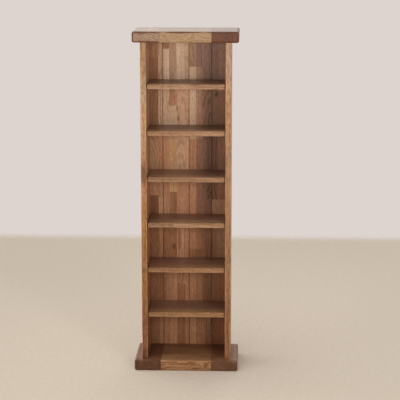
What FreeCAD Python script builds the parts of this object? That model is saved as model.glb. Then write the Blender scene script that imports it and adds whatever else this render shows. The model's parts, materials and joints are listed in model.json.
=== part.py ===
"""Open storage tower for disc cases: thick planks at top and bottom, two sides,
a boarded back and loose shelves on pins.

Sizes are in millimetres. The origin is on the floor under the middle of the base,
+Z is up, -Y is the open front, and +X is on the right of someone facing the front.
"""
import FreeCAD
import Part
import os
from FreeCAD import Vector

# Carcass
HEIGHT = 1100.0
CARCASS_WIDTH = 287.0
SIDE_DEPTH = 171.0
SIDE_THICKNESS = 18.0
SIDE_EASE = 2.0

# Top and base planks: a middle block between two end blocks
PLANK_THICKNESS = 35.0
PLANK_OVERHANG = 24.0
PLANK_ROUND = 6.0
END_BLOCK_WIDTH = 85.0

# Boarded back, set in rebates in the sides and planks
BACK_THICKNESS = 9.0
SIDE_REBATE = 9.0
PLANK_REBATE = 12.0
REBATE_CLEARANCE = 0.5
BOARD_WIDTHS = (50.5, 86.0, 75.0)
BOARD_GAP = 0.6
TONGUE_THICKNESS = 3.0
TONGUE_LENGTH = 5.0
TONGUE_CLEARANCE = 0.2
V_JOINT = 1.6

# Loose shelves
SHELF_COUNT = 6
SHELF_THICKNESS = 16.0
SHELF_SETBACK = 10.5
SHELF_BACK_GAP = 1.5
SHELF_EASE = 1.5
LOWEST_BAY_EXTRA = 3.5

# Shelf pins and their rows of holes
PIN_RADIUS = 2.5
PIN_IN_SIDE = 9.0
PIN_HOLE_EXTRA = 1.0
PIN_HOLE_CLEARANCE = 0.1
PIN_FLANGE_RADIUS = 4.0
PIN_FLANGE_THICKNESS = 1.0
PIN_FLANGE_CLEARANCE = 0.3
PIN_TONGUE_LENGTH = 10.0
PIN_INSET = 32.0
SPARE_HOLES = 1
HOLE_STEP = 30.0

# Dowels
DOWEL_CLEARANCE = 0.1
DOWEL_END_SPACE = 1.0
DOWEL_CHAMFER = 1.0
SIDE_DOWEL_RADIUS = 4.0
SIDE_DOWEL_IN_PLANK = 18.0
SIDE_DOWEL_IN_SIDE = 22.0
SIDE_DOWEL_INSET = 25.0
SIDE_DOWEL_COUNT = 3
BLOCK_DOWEL_RADIUS = 5.0
BLOCK_DOWEL_LENGTH = 60.0
BLOCK_DOWEL_INSET = 35.0
BLOCK_DOWEL_COUNT = 2

# Countersunk screws; each drive is a cross recess: length across, slot width and depth
SCREW_CLEARANCE = 0.05
SCREW_SUNK = 0.4
SCREW_TIP_RADIUS = 0.4
BASE_SCREW_RADIUS = 2.5
BASE_SCREW_HEAD_RADIUS = 5.0
BASE_SCREW_LENGTH = 70.0
BASE_SCREW_DRIVE = (5.0, 1.2, 1.4)
BACK_SCREW_RADIUS = 1.5
BACK_SCREW_HEAD_RADIUS = 3.0
BACK_SCREW_LENGTH = 25.0
BACK_SCREW_DRIVE = (3.2, 0.8, 0.8)
BOARD_SCREW_INSET = 12.0
SIDE_SCREW_COUNT = 4

# Planes that follow from the sizes above
PLANK_WIDTH = CARCASS_WIDTH + 2 * PLANK_OVERHANG
PLANK_DEPTH = SIDE_DEPTH + PLANK_OVERHANG
SEAM_X = PLANK_WIDTH / 2 - END_BLOCK_WIDTH
OUTER_X = CARCASS_WIDTH / 2
INNER_X = OUTER_X - SIDE_THICKNESS
REBATE_X = INNER_X + SIDE_REBATE
SIDE_MID_X = OUTER_X - SIDE_THICKNESS / 2
PLANK_FRONT_Y = -PLANK_DEPTH / 2
REAR_Y = PLANK_DEPTH / 2
SIDE_FRONT_Y = REAR_Y - SIDE_DEPTH
BACK_FACE_Y = REAR_Y - BACK_THICKNESS
BASE_TOP_Z = PLANK_THICKNESS
TOP_UNDER_Z = HEIGHT - PLANK_THICKNESS
CLEAR_HEIGHT = TOP_UNDER_Z - BASE_TOP_Z - SHELF_COUNT * SHELF_THICKNESS - LOWEST_BAY_EXTRA
BAY_HEIGHT = CLEAR_HEIGHT / (SHELF_COUNT + 1)
SHELF_END_GAP = PIN_FLANGE_THICKNESS + PIN_FLANGE_CLEARANCE
SHELF_FRONT_Y = SIDE_FRONT_Y + SHELF_SETBACK
SHELF_BACK_Y = BACK_FACE_Y - SHELF_BACK_GAP
PIN_ROWS_Y = (SHELF_FRONT_Y + PIN_INSET, SHELF_BACK_Y - PIN_INSET)


def shelf_under_z(number):
    """Underside of a shelf; number 1 is the highest shelf."""
    from_bottom = SHELF_COUNT - number
    lowest = BASE_TOP_Z + BAY_HEIGHT + LOWEST_BAY_EXTRA
    return lowest + from_bottom * (BAY_HEIGHT + SHELF_THICKNESS)


def box(x0, x1, y0, y1, z0, z1):
    """Box between two corners."""
    return Part.makeBox(x1 - x0, y1 - y0, z1 - z0, Vector(x0, y0, z0))


def cut_all(shape, tools):
    """The one solid left after all the tools are cut away."""
    return shape.cut(tools).Solids[0]


def turned(shape, position, direction):
    """Moves a shape made along +Z at the origin to a position and direction."""
    moved = shape.copy()
    moved.Placement = FreeCAD.Placement(position, FreeCAD.Rotation(Vector(0, 0, 1), direction))
    return moved


def save(name, shapes):
    """Writes one node from one solid or a group of solids."""
    solid = shapes[0] if len(shapes) == 1 else Part.makeCompound(shapes)
    solid.exportStep("parts/" + name + ".step")


def dowel(radius, length, position, direction):
    """Dowel with chamfered ends, starting at the position."""
    rod = Part.makeCylinder(radius, length)
    rims = [edge for edge in rod.Edges if len(edge.Vertexes) == 1]
    return turned(rod.makeChamfer(DOWEL_CHAMFER, rims), position, direction)


def dowel_hole(radius, length, position, direction):
    """Hole for a dowel, longer by the glue space at each end."""
    start = position - direction * DOWEL_END_SPACE
    hole = Part.makeCylinder(radius + DOWEL_CLEARANCE, length + 2 * DOWEL_END_SPACE)
    return turned(hole, start, direction)


def screw_body(radius, head_radius, length, spread):
    """Countersunk head, shank and point along +Z, with every radius wider by the spread."""
    cone_length = head_radius - radius
    point_length = 2 * radius
    head = Part.makeCone(head_radius + spread, radius + spread, cone_length)
    shank_length = length - cone_length - point_length
    shank = Part.makeCylinder(radius + spread, shank_length, Vector(0, 0, cone_length))
    point_start = Vector(0, 0, length - point_length)
    point = Part.makeCone(radius + spread, SCREW_TIP_RADIUS + spread, point_length, point_start)
    return head.fuse([shank, point]).removeSplitter()


def screw(size, position, direction):
    """Cross-headed screw whose head lies just below the surface at the position."""
    radius, head_radius, length, drive = size
    across, wide, deep = drive
    recess = [
        box(-across / 2, across / 2, -wide / 2, wide / 2, 0, deep),
        box(-wide / 2, wide / 2, -across / 2, across / 2, 0, deep)]
    solid = cut_all(screw_body(radius, head_radius, length, 0), recess)
    return turned(solid, position + direction * SCREW_SUNK, direction)


def screw_hole(size, position, direction):
    """Room for a screw, open at the surface."""
    radius, head_radius, length, drive = size
    mouth = Part.makeCylinder(head_radius + SCREW_CLEARANCE, SCREW_SUNK)
    body = screw_body(radius, head_radius, length + SCREW_CLEARANCE, SCREW_CLEARANCE)
    body.translate(Vector(0, 0, SCREW_SUNK))
    return turned(mouth.fuse(body), position, direction)


def spaced(first, last, count):
    """Evenly spaced positions from the first to the last."""
    return [first + (last - first) * step / (count - 1) for step in range(count)]


def side_joint_rows():
    """Depths of the dowels in each side, front to back."""
    return spaced(SIDE_FRONT_Y + SIDE_DOWEL_INSET, REAR_Y - SIDE_DOWEL_INSET, SIDE_DOWEL_COUNT)


def side_dowels(make, at_top):
    """Dowels, or their holes, between both sides and one plank."""
    below = SIDE_DOWEL_IN_SIDE if at_top else SIDE_DOWEL_IN_PLANK
    joint_z = TOP_UNDER_Z if at_top else BASE_TOP_Z
    length = SIDE_DOWEL_IN_PLANK + SIDE_DOWEL_IN_SIDE
    made = []
    for x in (-SIDE_MID_X, SIDE_MID_X):
        for y in side_joint_rows():
            start = Vector(x, y, joint_z - below)
            made.append(make(SIDE_DOWEL_RADIUS, length, start, Vector(0, 0, 1)))
    return made


def block_dowels(make, plank_z):
    """Dowels, or their holes, between the three blocks of one plank."""
    rows = spaced(PLANK_FRONT_Y + BLOCK_DOWEL_INSET, REAR_Y - BLOCK_DOWEL_INSET, BLOCK_DOWEL_COUNT)
    made = []
    for seam in (-SEAM_X, SEAM_X):
        for y in rows:
            start = Vector(seam - BLOCK_DOWEL_LENGTH / 2, y, plank_z + PLANK_THICKNESS / 2)
            made.append(make(BLOCK_DOWEL_RADIUS, BLOCK_DOWEL_LENGTH, start, Vector(1, 0, 0)))
    return made


def base_screws(make):
    """Screws, or their holes, up through the base into the sides, midway between dowels."""
    rows = side_joint_rows()
    size = (BASE_SCREW_RADIUS, BASE_SCREW_HEAD_RADIUS, BASE_SCREW_LENGTH, BASE_SCREW_DRIVE)
    made = []
    for x in (-SIDE_MID_X, SIDE_MID_X):
        for ahead, behind in zip(rows, rows[1:]):
            mouth = Vector(x, (ahead + behind) / 2, 0)
            made.append(make(size, mouth, Vector(0, 0, 1)))
    return made


def board_edges():
    """Left and right edge of each back board, seam to seam; the last board fills what is left."""
    left = -REBATE_X + REBATE_CLEARANCE
    edges = []
    for width in BOARD_WIDTHS:
        edges.append((left, left + width))
        left += width
    edges.append((left, REBATE_X - REBATE_CLEARANCE))
    return edges


def back_screws(make):
    """Screws, or their holes, through the boards into the planks and the sides."""
    size = (BACK_SCREW_RADIUS, BACK_SCREW_HEAD_RADIUS, BACK_SCREW_LENGTH, BACK_SCREW_DRIVE)
    points = []
    for left, right in board_edges():
        for x in (left + BOARD_SCREW_INSET, right - BOARD_SCREW_INSET):
            points.append((x, BASE_TOP_Z - PLANK_REBATE / 2))
            points.append((x, TOP_UNDER_Z + PLANK_REBATE / 2))
    for x in (-INNER_X - SIDE_REBATE / 2, INNER_X + SIDE_REBATE / 2):
        for step in range(SIDE_SCREW_COUNT):
            share = (step + 0.5) / SIDE_SCREW_COUNT
            points.append((x, BASE_TOP_Z + share * (TOP_UNDER_Z - BASE_TOP_Z)))
    made = []
    for x, z in points:
        made.append(make(size, Vector(x, REAR_Y, z), Vector(0, -1, 0)))
    return made


def plank_blocks(plank_z, rebate_z, holes):
    """Left, middle and right block of one plank, with the rebate for the back."""
    whole = box(-PLANK_WIDTH / 2, PLANK_WIDTH / 2, PLANK_FRONT_Y, REAR_Y, plank_z, plank_z + PLANK_THICKNESS)
    whole = whole.makeFillet(PLANK_ROUND, whole.Edges)
    rebate = box(-REBATE_X, REBATE_X, BACK_FACE_Y, REAR_Y, rebate_z, rebate_z + PLANK_REBATE)
    limits = (-PLANK_WIDTH / 2, -SEAM_X, SEAM_X, PLANK_WIDTH / 2)
    blocks = []
    for left, right in zip(limits, limits[1:]):
        slab = box(left, right, PLANK_FRONT_Y, REAR_Y, plank_z, plank_z + PLANK_THICKNESS)
        blocks.append(cut_all(whole.common(slab), [rebate] + holes))
    return blocks


def side_panel(sign, holes):
    """One side: rebated at the back, eased at the front, with rows of pin holes inside."""
    inner, outer = sign * INNER_X, sign * OUTER_X
    panel = box(min(inner, outer), max(inner, outer), SIDE_FRONT_Y, REAR_Y, BASE_TOP_Z, TOP_UNDER_Z)
    upright = []
    for edge in panel.Edges:
        middle = edge.CenterOfMass
        at_end = abs(middle.z - BASE_TOP_Z) < 1 or abs(middle.z - TOP_UNDER_Z) < 1
        if abs(middle.y - SIDE_FRONT_Y) < 0.01 and not at_end:
            upright.append(edge)
    panel = panel.makeFillet(SIDE_EASE, upright)
    rebate_x = sign * REBATE_X
    rebate = box(min(inner, rebate_x), max(inner, rebate_x), BACK_FACE_Y, REAR_Y, BASE_TOP_Z, TOP_UNDER_Z)
    return cut_all(panel, [rebate] + holes + pin_holes(sign))


def pin_holes(sign):
    """Rows of blind holes: the one each pin sits in, and spare ones above and below it."""
    radius = PIN_RADIUS + PIN_HOLE_CLEARANCE
    depth = PIN_IN_SIDE + PIN_HOLE_EXTRA
    holes = []
    for number in range(1, SHELF_COUNT + 1):
        for step in range(-SPARE_HOLES, SPARE_HOLES + 1):
            for y in PIN_ROWS_Y:
                mouth = Vector(sign * INNER_X, y, shelf_under_z(number) + step * HOLE_STEP)
                holes.append(Part.makeCylinder(radius, depth, mouth, Vector(sign, 0, 0)))
    return holes


def shelf_pins(number):
    """Four pins under one shelf: barrel in the side, flange, and a flat-topped tongue."""
    pins = []
    z = shelf_under_z(number)
    for sign in (-1, 1):
        for y in PIN_ROWS_Y:
            mouth = Vector(sign * INNER_X, y, z)
            inward = Vector(-sign, 0, 0)
            barrel = Part.makeCylinder(PIN_RADIUS, PIN_IN_SIDE, mouth, -inward)
            reach = PIN_FLANGE_THICKNESS + PIN_TONGUE_LENGTH
            head = Part.makeCylinder(PIN_FLANGE_RADIUS, reach, mouth, inward)
            flange_x = sign * (INNER_X - PIN_FLANGE_THICKNESS)
            tip_x = sign * (INNER_X - reach)
            above = box(
                min(flange_x, tip_x), max(flange_x, tip_x),
                y - PIN_FLANGE_RADIUS, y + PIN_FLANGE_RADIUS, z, z + PIN_FLANGE_RADIUS)
            pins.append(barrel.fuse(head.cut(above)).removeSplitter().Solids[0])
    return pins


def shelf(number):
    """One loose shelf, eased on every edge."""
    half = INNER_X - SHELF_END_GAP
    under = shelf_under_z(number)
    panel = box(-half, half, SHELF_FRONT_Y, SHELF_BACK_Y, under, under + SHELF_THICKNESS)
    return panel.makeFillet(SHELF_EASE, panel.Edges)


def board_outline(left, right, grooved, tongued):
    """Outline of a back board seen from above: groove on its left, tongue on its right."""
    left += BOARD_GAP / 2 if grooved else 0
    right -= BOARD_GAP / 2 if tongued else 0
    middle = (BACK_FACE_Y + REAR_Y) / 2
    slot = TONGUE_THICKNESS / 2 + TONGUE_CLEARANCE
    tongue = TONGUE_THICKNESS / 2
    points = []
    if grooved:
        points += [(left + V_JOINT, BACK_FACE_Y), (left, BACK_FACE_Y + V_JOINT)]
        points += [(left, middle - slot), (left + TONGUE_LENGTH, middle - slot)]
        points += [(left + TONGUE_LENGTH, middle + slot), (left, middle + slot), (left, REAR_Y)]
    else:
        points += [(left, BACK_FACE_Y), (left, REAR_Y)]
    if tongued:
        points += [(right, REAR_Y), (right, middle + tongue), (right + TONGUE_LENGTH, middle + tongue)]
        points += [(right + TONGUE_LENGTH, middle - tongue), (right, middle - tongue)]
        points += [(right, BACK_FACE_Y + V_JOINT), (right - V_JOINT, BACK_FACE_Y)]
    else:
        points += [(right, REAR_Y), (right, BACK_FACE_Y)]
    return points


def back_board(index, holes):
    """One tongued and grooved board, standing in the base's rebate."""
    left, right = board_edges()[index]
    outline = board_outline(left, right, index > 0, index < len(BOARD_WIDTHS))
    foot = BASE_TOP_Z - PLANK_REBATE
    head = TOP_UNDER_Z + PLANK_REBATE - REBATE_CLEARANCE
    corners = [Vector(x, y, foot) for x, y in outline]
    face = Part.Face(Part.makePolygon(corners + corners[:1]))
    return cut_all(face.extrude(Vector(0, 0, head - foot)), holes)


os.makedirs("parts", exist_ok=True)

back_screw_holes = back_screws(screw_hole)
base_holes = side_dowels(dowel_hole, False) + block_dowels(dowel_hole, 0) + base_screws(screw_hole)
top_holes = side_dowels(dowel_hole, True) + block_dowels(dowel_hole, TOP_UNDER_Z)
side_holes = side_dowels(dowel_hole, False) + side_dowels(dowel_hole, True) + base_screws(screw_hole)

base = plank_blocks(0, BASE_TOP_Z - PLANK_REBATE, base_holes + back_screw_holes)
top = plank_blocks(TOP_UNDER_Z, TOP_UNDER_Z, top_holes + back_screw_holes)
for index, place in enumerate(("left", "middle", "right")):
    save("base_" + place + "_block", [base[index]])
    save("top_" + place + "_block", [top[index]])

save("left_side", [side_panel(-1, side_holes + back_screw_holes)])
save("right_side", [side_panel(1, side_holes + back_screw_holes)])

for index in range(len(BOARD_WIDTHS) + 1):
    save("back_board_" + str(index + 1), [back_board(index, back_screw_holes)])

for number in range(1, SHELF_COUNT + 1):
    save("shelf_" + str(number), [shelf(number)])
    save("shelf_" + str(number) + "_pins", shelf_pins(number))

save("base_side_dowels", side_dowels(dowel, False))
save("top_side_dowels", side_dowels(dowel, True))
save("base_block_dowels", block_dowels(dowel, 0))
save("top_block_dowels", block_dowels(dowel, TOP_UNDER_Z))
save("base_screws", base_screws(screw))
save("back_screws", back_screws(screw))
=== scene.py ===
# %% [markdown]
# # An open oak tower for disc cases
# The tower is two thick planks with two sides, a boarded back and six loose
# shelves between them. Its solids come in as a fixed frame, in metres, with
# the origin on the floor under the middle of the base and the open front
# towards -Y. This script keeps the sides, back, pins and screws as they are
# and gives them a finish. It makes the planks and shelves again, because their
# edges are worn by hand and a solid with even rounds doesn't show that.

# %% Load the frame
import json
import math

import bmesh
import bpy
import numpy as np
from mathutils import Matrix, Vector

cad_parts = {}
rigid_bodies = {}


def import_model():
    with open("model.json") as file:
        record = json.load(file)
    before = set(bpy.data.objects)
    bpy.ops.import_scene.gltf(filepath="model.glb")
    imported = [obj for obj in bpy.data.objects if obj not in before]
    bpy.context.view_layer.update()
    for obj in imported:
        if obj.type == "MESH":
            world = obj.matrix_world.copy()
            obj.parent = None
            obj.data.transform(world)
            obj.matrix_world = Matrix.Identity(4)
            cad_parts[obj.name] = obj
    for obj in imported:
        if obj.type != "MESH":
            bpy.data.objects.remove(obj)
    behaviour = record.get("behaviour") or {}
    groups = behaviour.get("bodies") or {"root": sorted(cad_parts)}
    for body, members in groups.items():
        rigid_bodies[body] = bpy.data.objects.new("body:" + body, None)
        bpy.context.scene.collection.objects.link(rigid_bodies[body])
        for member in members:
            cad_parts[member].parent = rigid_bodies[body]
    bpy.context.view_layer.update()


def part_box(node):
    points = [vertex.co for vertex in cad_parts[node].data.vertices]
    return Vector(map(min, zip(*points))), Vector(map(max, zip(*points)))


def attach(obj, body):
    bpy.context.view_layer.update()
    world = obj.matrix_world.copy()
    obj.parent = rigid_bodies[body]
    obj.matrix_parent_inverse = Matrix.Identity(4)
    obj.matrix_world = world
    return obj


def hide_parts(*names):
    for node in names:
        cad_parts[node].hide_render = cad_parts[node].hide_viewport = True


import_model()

# %% [markdown]
# The camera stands a little to the right of the tower at standing height and
# looks slightly down. Its place could be guessed and nudged by eye. Here it was
# solved from the corners of the planks and shelves in the picture, which gives
# the place, the turn and the focal length together, so the perspective of the
# narrowing base is right as well as the outline.

# %% Camera
PICTURE_WIDTH = 400
FOCAL_PIXELS = 1365.1
SENSOR_MM = 36.0
CAMERA_PLACE = (0.21658, -4.34664, 1.41204)
LOOK_DOWN = 0.1959
TURN_LEFT = 0.0401

camera_data = bpy.data.cameras.new("camera")
camera_data.sensor_width = SENSOR_MM
camera_data.lens = FOCAL_PIXELS / PICTURE_WIDTH * SENSOR_MM
camera = bpy.data.objects.new("camera", camera_data)
camera.location = CAMERA_PLACE
camera.rotation_euler = (math.pi / 2 - LOOK_DOWN, 0.0, TURN_LEFT)
bpy.context.scene.collection.objects.link(camera)
bpy.context.scene.camera = camera
bpy.context.scene.view_settings.view_transform = "Standard"
print("lens in mm:", round(camera_data.lens, 2))

# %% [markdown]
# Nearly everything here is a grid of points: rows that run along a piece and
# columns that go round it or across it. One helper turns such a grid into a
# mesh. The faces could be listed one at a time, but a shifted copy of the
# index array gives all of them at once.


# %% Grid to mesh
def grid_object(name, points, closed=False, capped=False):
    """Makes an object from a grid of points, rows by columns by 3.

    Each face joins a point to its neighbour in the next column and the two
    below them in the next row. A closed grid joins its last column to its
    first, and a capped one closes its first and last rows with one face each.
    """
    rows, columns, _ = points.shape
    index = np.arange(rows * columns).reshape(rows, columns)
    here = index if closed else index[:, :-1]
    beside = np.roll(index, -1, axis=1) if closed else index[:, 1:]
    faces = np.stack([here[:-1], beside[:-1], beside[1:], here[1:]], axis=-1)
    faces = faces.reshape(-1, 4).tolist()
    if capped:
        faces += [index[0, ::-1].tolist(), index[-1].tolist()]
    mesh = bpy.data.meshes.new(name)
    mesh.from_pydata(points.reshape(-1, 3).tolist(), [], faces)
    made = bpy.data.objects.new(name, mesh)
    bpy.context.scene.collection.objects.link(made)
    return made


# %% [markdown]
# The tower stands on a plain pale floor. A sheet that sweeps up behind it is
# usual in a studio, but it would hide the tower's back from a camera there. So
# the stage is a flat sheet only, and the pale surroundings show beyond it.

# %% Stage
FLOOR_HALF_WIDTH = 6.0
FLOOR_FRONT = -7.0
FLOOR_BACK = 1.95
FLOOR_POINTS = (13, 10)


def floor_sheet(across, along):
    """A flat grid: x and y are spread evenly between the edges, and z is 0."""
    x = np.linspace(-FLOOR_HALF_WIDTH, FLOOR_HALF_WIDTH, across)
    y = np.linspace(FLOOR_FRONT, FLOOR_BACK, along)
    x, y = np.meshgrid(x, y)
    return np.stack([x, y, np.zeros_like(x)], axis=-1)


stage = grid_object("stage", floor_sheet(*FLOOR_POINTS))
print("stage faces:", len(stage.data.polygons))

# %% [markdown]
# Node trees are wired here with one small helper. It adds a node, then sets
# each named socket, or links it when the value is another node's output. Short
# helpers for the sums that come back often keep a material readable from top
# to bottom.


# %% Node helpers
def add(tree, kind, sockets=None, **settings):
    """Adds a node, with its settings and its input values or links."""
    made = tree.nodes.new(kind)
    for key, value in settings.items():
        setattr(made, key, value)
    for key, value in (sockets or {}).items():
        if isinstance(value, bpy.types.NodeSocket):
            tree.links.new(value, made.inputs[key])
        else:
            made.inputs[key].default_value = value
    return made


def calc(tree, operation, first, second=0.0):
    """One sum on two values that vary over the surface."""
    return add(tree, "ShaderNodeMath", {0: first, 1: second}, operation=operation).outputs[0]


def times(tree, first, second):
    """Two values multiplied."""
    return calc(tree, "MULTIPLY", first, second)


def total(tree, *values):
    """Several values added up."""
    result = values[0]
    for value in values[1:]:
        result = calc(tree, "ADD", result, value)
    return result


def spread(tree, value, low, high, to_low=0.0, to_high=1.0, shape="LINEAR"):
    """Stretches the range low to high over another range and clamps it."""
    sockets = {"Value": value, "From Min": low, "From Max": high, "To Min": to_low, "To Max": to_high}
    return add(tree, "ShaderNodeMapRange", sockets, interpolation_type=shape).outputs["Result"]


def blend(tree, share, first, second, mode="MIX"):
    """Mixes two colours by a share that varies over the surface."""
    sockets = {0: share, 6: first, 7: second}
    return add(tree, "ShaderNodeMix", sockets, data_type="RGBA", blend_type=mode).outputs[2]


def vector(tree, operation, first, second=(0.0, 0.0, 0.0)):
    """One sum on two vectors."""
    return add(tree, "ShaderNodeVectorMath", {0: first, 1: second}, operation=operation).outputs["Vector"]


def own_place(tree):
    """A point's place on its own piece, in metres."""
    return add(tree, "ShaderNodeTexCoord").outputs["Object"]


def parts(tree, place):
    """The X, Y and Z of a place."""
    return add(tree, "ShaderNodeSeparateXYZ", {0: place}).outputs


def noise(tree, place, scale, detail):
    """Soft noise from 0 to 1 at a place."""
    sockets = {"Vector": place, "Scale": scale, "Detail": detail}
    return add(tree, "ShaderNodeTexNoise", sockets).outputs["Fac"]


def bumped(tree, shader, height, strength, distance):
    """Raises and sinks a shader's surface by a height from 0 to 1."""
    sockets = {"Strength": strength, "Distance": distance, "Height": height}
    tree.links.new(add(tree, "ShaderNodeBump", sockets).outputs["Normal"], shader.inputs["Normal"])


def linear(red, green, blue):
    """A colour given in 0-255 steps, as the light values nodes use."""
    share = np.array([red, green, blue]) / 255.0
    light = np.where(share <= 0.04045, share / 12.92, ((share + 0.055) / 1.055) ** 2.4)
    return (*light.round(4).tolist(), 1.0)


def new_material(name):
    """A node material: its tree and its shader."""
    material = bpy.data.materials.new(name)
    material.use_nodes = True
    return material, material.node_tree, material.node_tree.nodes["Principled BSDF"]


print("a mid oak in light values:", linear(176, 134, 100))

# %% [markdown]
# The floor is matt, warm beige paper with a faint mottle. Cut off hard, it
# would look like a table top, so its rim fades out over a short way.

# %% Stage finish
FLOOR_FADE = 0.16
PAPER_TONES = (linear(214, 201, 184), linear(222, 210, 195))
paper, tree, shader = new_material("stage_paper")
place = own_place(tree)
spot = parts(tree, place)
speckle = spread(tree, noise(tree, place, scale=60.0, detail=3.0), low=0.2, high=0.8)
tree.links.new(blend(tree, speckle, *PAPER_TONES), shader.inputs["Base Color"])
shader.inputs["Roughness"].default_value = 0.95
shader.inputs["Specular IOR Level"].default_value = 0.1
to_sides = calc(tree, "SUBTRACT", FLOOR_HALF_WIDTH, calc(tree, "ABSOLUTE", spot["X"]))
to_ends = calc(tree, "MINIMUM", calc(tree, "SUBTRACT", FLOOR_BACK, spot["Y"]),
               calc(tree, "SUBTRACT", spot["Y"], FLOOR_FRONT))
solid = spread(tree, calc(tree, "MINIMUM", to_sides, to_ends), 0.0, FLOOR_FADE, shape="SMOOTHSTEP")
clear = add(tree, "ShaderNodeBsdfTransparent")
faded = add(tree, "ShaderNodeMixShader", {0: solid, 1: clear.outputs[0], 2: shader.outputs[0]})
tree.links.new(faded.outputs[0], tree.nodes["Material Output"].inputs["Surface"])
stage.data.materials.append(paper)
print("stage finish:", paper.name)

# %% [markdown]
# The light comes from soft lamps. Two at the right of the camera, one above
# the other, are the key: they stand well to the right, so the right side
# shades the right third of the back in every bay. Two weaker ones fill in from
# the left, and one lights the back. The low lamps are warmer, as light is that
# has been thrown back by a beige floor. A sun would give the shades hard
# edges, and one small lamp would throw the shelves' shadows down the back. The
# lacquer doesn't mirror the lamps, because they would draw white lines along
# its rounded ends.

# %% Lamps
DAYLIGHT, GLOW = (0.97, 0.985, 1.0), (1.0, 0.83, 0.64)
LAMPS = {
    # place, aim, width and height, watts, colour, beam in degrees
    "key_high": ((1.13, -2.22, 1.08), (0.0, 0.0, 1.02), (0.36, 0.6), 3.85, DAYLIGHT, 75.0),
    "key_low": ((1.13, -2.22, 0.42), (0.0, 0.0, 0.36), (0.36, 0.6), 1.05, GLOW, 75.0),
    "fill_high": ((-0.50, -2.7, 1.18), (0.0, 0.0, 1.02), (0.9, 0.6), 2.65, DAYLIGHT, 75.0),
    "fill_low": ((-0.50, -2.7, 0.52), (0.0, 0.0, 0.36), (0.9, 0.6), 0.8, GLOW, 75.0),
    "rear": ((0.5, 2.4, 1.2), (0.0, 0.0, 0.6), (0.8, 1.0), 1.6, DAYLIGHT, 60.0),
}


def soft_lamp(name, place, aim, size, power, colour, beam):
    """A rectangular lamp at place that faces aim, with its beam in degrees."""
    data = bpy.data.lights.new(name, "AREA")
    data.shape = "RECTANGLE"
    data.size, data.size_y = size
    data.energy = power
    data.color = colour
    data.spread = math.radians(beam)
    lamp = bpy.data.objects.new(name, data)
    lamp.location = place
    away = np.subtract(aim, place)
    level = math.hypot(away[0], away[1])
    lamp.rotation_euler = (math.atan2(level, -away[2]), 0.0, math.atan2(-away[0], away[1]))
    lamp.visible_camera = lamp.visible_glossy = False
    bpy.context.scene.collection.objects.link(lamp)


for name, facts in LAMPS.items():
    soft_lamp(name, *facts)
print("lamps:", [each.name for each in bpy.data.lights])

# %% [markdown]
# The surroundings light the tower softly from all sides, its back as well, and
# most strongly from above, a little to the left, as a pale ceiling does. An
# overhead lamp would do that too, but it would light the top much more than the
# floor. A camera should see the surroundings pale, and that much light would
# flood the bays. So the rays that only carry light find them dim, and those of
# the camera and of reflections find them pale.

# %% Surroundings
SIDE_LIGHT, SKY_LIGHT = 0.10, 2.0
SKY_AXIS = (-0.30, 0.0, 0.954)
SKY_RIM, SKY_FULL = 0.60, 0.95
WARM_WHITE, PALE_GREY = (1.0, 0.97, 0.94, 1.0), linear(221, 212, 207)
surround = bpy.data.worlds.new("surround")
surround.use_nodes = True
tree = surround.node_tree
towards = add(tree, "ShaderNodeTexCoord").outputs["Generated"]
facing = add(tree, "ShaderNodeVectorMath", {0: towards, 1: SKY_AXIS}, operation="DOT_PRODUCT")
dim = tree.nodes["Background"]
dim.inputs["Color"].default_value = WARM_WHITE
overhead = spread(tree, facing.outputs["Value"], SKY_RIM, SKY_FULL, SIDE_LIGHT, SKY_LIGHT, shape="SMOOTHSTEP")
tree.links.new(overhead, dim.inputs["Strength"])
beyond = add(tree, "ShaderNodeBackground", {"Color": PALE_GREY, "Strength": 1.0})
rays = add(tree, "ShaderNodeLightPath").outputs
seen = calc(tree, "MAXIMUM", rays["Is Camera Ray"], rays["Is Glossy Ray"])
seen = calc(tree, "MAXIMUM", seen, rays["Is Transmission Ray"])
shown = add(tree, "ShaderNodeMixShader", {0: seen, 1: dim.outputs[0], 2: beyond.outputs[0]})
tree.links.new(shown.outputs[0], tree.nodes["World Output"].inputs["Surface"])
bpy.context.scene.world = surround
print("light from the sides and from above:", SIDE_LIGHT, SKY_LIGHT)

# %% [markdown]
# Oak shows several things at once: dark lines where the growth rings are cut,
# streaks where darker fibres run, broad soft blotches, short flecks and fine
# dark pores. They could be painted on each face, but a board cut from a log
# shows the same rings on all its faces. So the grain is worked out in the
# solid. Distances along, across and through the board go in, with the place of
# the log's heart, and a face that cuts the fibres shows end grain by itself.
# Where the heart lies close behind a face, the rings come out bold, as long
# pointed arches; where it lies off to one side, they are fainter straight
# lines. Each stave has its own heart, so no two show the same part of the log.

# %% Oak grain group
FLOAT, COLOUR, VECTOR = "NodeSocketFloat", "NodeSocketColor", "NodeSocketVector"


def new_group(name, inputs, outputs):
    """A shader group with named sockets: its tree, its way in and its way out."""
    tree = bpy.data.node_groups.new(name, "ShaderNodeTree")
    for way, sockets in (("INPUT", inputs), ("OUTPUT", outputs)):
        for title, kind in sockets.items():
            tree.interface.new_socket(name=title, in_out=way, socket_type=kind)
    way_in, way_out = tree.nodes.new("NodeGroupInput"), tree.nodes.new("NodeGroupOutput")
    return tree, way_in.outputs, way_out.inputs


def placed(tree, group, sockets):
    """A shared group placed in a tree with its own values: its outputs."""
    return add(tree, "ShaderNodeGroup", sockets, node_tree=group).outputs


GRAIN_VALUES = ("Along", "Across", "Through", "Heart", "Ring gap", "Ring strength", "Waviness", "Swirl",
                "Contrast")
oak_grain, grain_in, grain_out = new_group(
    "oak_grain", {"Tone": COLOUR, **dict.fromkeys(GRAIN_VALUES, FLOAT)},
    {"Colour": COLOUR, "Roughness": FLOAT, "Height": FLOAT})
print("grain inputs:", [socket.name for socket in grain_in if socket.name])

# %% [markdown]
# The layers are noise that is stretched along the fibres, and the heart also
# says which part of the log a stave was cut from. The rings are a wave of the
# distance from the heart. Blender's own wave texture could draw them, but here
# a knot has to push them aside and they have to fade in and out.

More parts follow.
